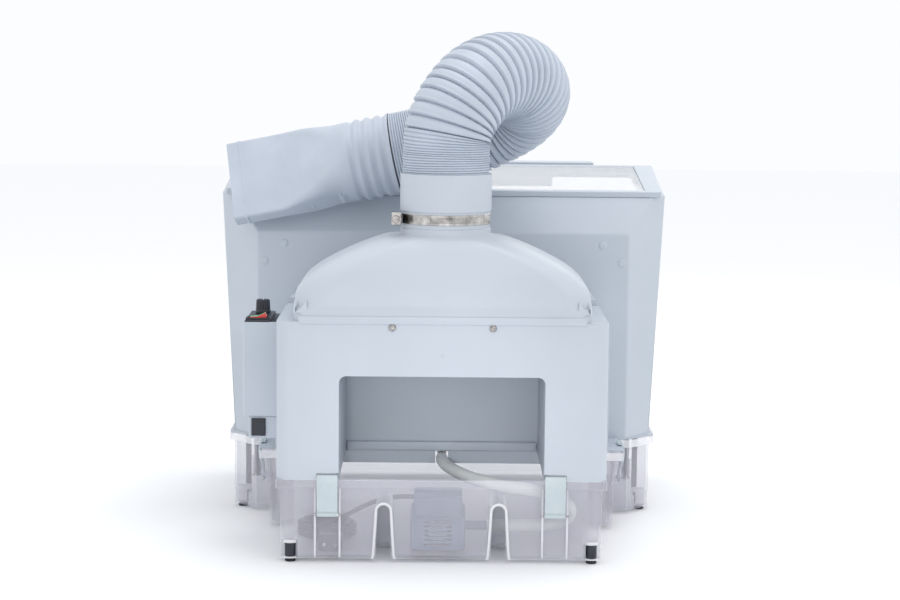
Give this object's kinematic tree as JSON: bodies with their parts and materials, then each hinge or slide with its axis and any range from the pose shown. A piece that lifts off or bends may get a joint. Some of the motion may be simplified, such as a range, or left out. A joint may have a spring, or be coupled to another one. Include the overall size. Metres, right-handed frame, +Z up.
{
  "type": "water curtain extraction booth",
  "caption": "Bench-top extraction booth with a see-through water tank and pump, fans under a domed cover, and a flexible duct ending in a flat nozzle.",
  "frame": {"origin": "centre of the booth's plan box on the surface that its feet stand on", "axes": "+Z up, -Y out of the back with the bay and the latches, +Y out of the mouth, +X to the right seen from the back"},
  "size_m": [0.462, 0.44, 0.4935],
  "materials": {
    "shell_plastic": "satin moulded ABS, pale blue-grey",
    "duct_plastic": "soft extruded polymer, pale blue-grey",
    "latch_plastic": "satin moulded acetal",
    "tank_plastic": "translucent moulded polypropylene",
    "clear_sheet": "clear acrylic sheet",
    "lamp_lens": "opal acrylic",
    "circuit_board": "solder masked laminate",
    "black_plastic": "fine textured black plastic",
    "foot_rubber": "black rubber",
    "rotor_plastic": "glass filled black nylon",
    "rocker_red": "translucent red rocker with a green top",
    "bright_steel": "bright plated steel",
    "brushed_sheet": "brushed stainless sheet",
    "pump_plastic": "blue-grey moulded plastic",
    "tube_silicone": "milky silicone"
  },
  "bodies": {
    "root": {"water_tank": "tank_plastic", "foot_barrels": "black_plastic", "latch_pins": "bright_steel", "fan_housing": "shell_plastic", "air_channel": "shell_plastic", "booth_hood": "shell_plastic", "top_frame": "shell_plastic", "top_window": "clear_sheet", "mouth_frame": "shell_plastic", "lamp_cover": "shell_plastic", "lamp_housing": "shell_plastic", "lamp_board": "circuit_board", "lamp_lens": "lamp_lens", "fan_frames": "black_plastic", "fan_screws": "bright_steel", "duct_dome": "shell_plastic", "dome_screws": "bright_steel", "duct_cuff": "duct_plastic", "clamp_band": "bright_steel", "clamp_housing": "bright_steel", "duct_hose": "duct_plastic", "duct_nozzle": "duct_plastic", "control_box": "shell_plastic", "control_plate": "black_plastic", "speed_pot": "bright_steel", "speed_board": "circuit_board", "rocker_frame": "black_plastic", "power_socket": "black_plastic", "socket_bracket": "shell_plastic", "curtain_plate": "brushed_sheet", "water_trough": "shell_plastic", "riser_pipe": "tube_silicone", "work_grille": "shell_plastic", "grille_feet": "black_plastic", "pump_body": "pump_plastic", "pump_cover": "pump_plastic", "pump_cups": "foot_rubber", "water_tube": "tube_silicone", "pump_cord": "black_plastic", "pump_cord_coil": "black_plastic", "pump_plug": "black_plastic", "plug_relief": "black_plastic"},
    "foot_1": {"foot_1": "foot_rubber"},
    "foot_2": {"foot_2": "foot_rubber"},
    "foot_3": {"foot_3": "foot_rubber"},
    "foot_4": {"foot_4": "foot_rubber"},
    "foot_5": {"foot_5": "foot_rubber"},
    "foot_6": {"foot_6": "foot_rubber"},
    "latch_back_left": {"latch_back_left": "latch_plastic"},
    "latch_back_right": {"latch_back_right": "latch_plastic"},
    "latch_side_left": {"latch_side_left": "latch_plastic"},
    "latch_side_right": {"latch_side_right": "latch_plastic"},
    "fan_rotor_left": {"fan_rotor_left": "rotor_plastic"},
    "fan_rotor_right": {"fan_rotor_right": "rotor_plastic"},
    "clamp_screw": {"clamp_screw": "bright_steel"},
    "speed_knob": {"speed_knob": "black_plastic"},
    "rocker_button": {"rocker_button": "rocker_red"},
    "pump_rotor": {"pump_rotor": "rotor_plastic"}
  },
  "joints": [
    {"name": "foot_1_height", "type": "slide", "parent": "root", "child": "foot_1", "axis": [0, 0, 1], "range_m": [-0.004, 0.002]},
    {"name": "foot_2_height", "type": "slide", "parent": "root", "child": "foot_2", "axis": [0, 0, 1], "range_m": [-0.004, 0.002]},
    {"name": "foot_3_height", "type": "slide", "parent": "root", "child": "foot_3", "axis": [0, 0, 1], "range_m": [-0.004, 0.002]},
    {"name": "foot_4_height", "type": "slide", "parent": "root", "child": "foot_4", "axis": [0, 0, 1], "range_m": [-0.004, 0.002]},
    {"name": "foot_5_height", "type": "slide", "parent": "root", "child": "foot_5", "axis": [0, 0, 1], "range_m": [-0.004, 0.002]},
    {"name": "foot_6_height", "type": "slide", "parent": "root", "child": "foot_6", "axis": [0, 0, 1], "range_m": [-0.004, 0.002]},
    {"name": "latch_back_left_swing", "type": "hinge", "parent": "root", "child": "latch_back_left", "pos_m": [-0.106, -0.2154, 0.046], "axis": [1, 0, 0], "range_deg": [0, 95]},
    {"name": "latch_back_right_swing", "type": "hinge", "parent": "root", "child": "latch_back_right", "pos_m": [0.106, -0.2154, 0.046], "axis": [1, 0, 0], "range_deg": [0, 95]},
    {"name": "latch_side_left_swing", "type": "hinge", "parent": "root", "child": "latch_side_left", "pos_m": [-0.1804, -0.034, 0.046], "axis": [0, -1, 0], "range_deg": [0, 95]},
    {"name": "latch_side_right_swing", "type": "hinge", "parent": "root", "child": "latch_side_right", "pos_m": [0.1804, -0.034, 0.046], "axis": [0, 1, 0], "range_deg": [0, 95]},
    {"name": "fan_left_spin", "type": "hinge", "parent": "root", "child": "fan_rotor_left", "pos_m": [-0.065, -0.145, 0.21], "axis": [0, 0, 1], "continuous": true},
    {"name": "fan_right_spin", "type": "hinge", "parent": "root", "child": "fan_rotor_right", "pos_m": [0.065, -0.145, 0.21], "axis": [0, 0, 1], "continuous": true},
    {"name": "clamp_screw_turn", "type": "hinge", "parent": "root", "child": "clamp_screw", "pos_m": [-0.045, -0.165, 0.3188], "axis": [0, 1, 0], "continuous": true},
    {"name": "speed_knob_turn", "type": "hinge", "parent": "root", "child": "speed_knob", "pos_m": [-0.175, -0.105, 0.228], "axis": [0, 0, 1], "range_deg": [0, 270]},
    {"name": "rocker_tilt", "type": "hinge", "parent": "root", "child": "rocker_button", "pos_m": [-0.176, -0.148, 0.2222], "axis": [0, 1, 0], "range_deg": [0, 18]},
    {"name": "pump_rotor_spin", "type": "hinge", "parent": "root", "child": "pump_rotor", "pos_m": [-0.003, -0.18, 0.025], "axis": [0, 1, 0], "continuous": true}
  ]
}
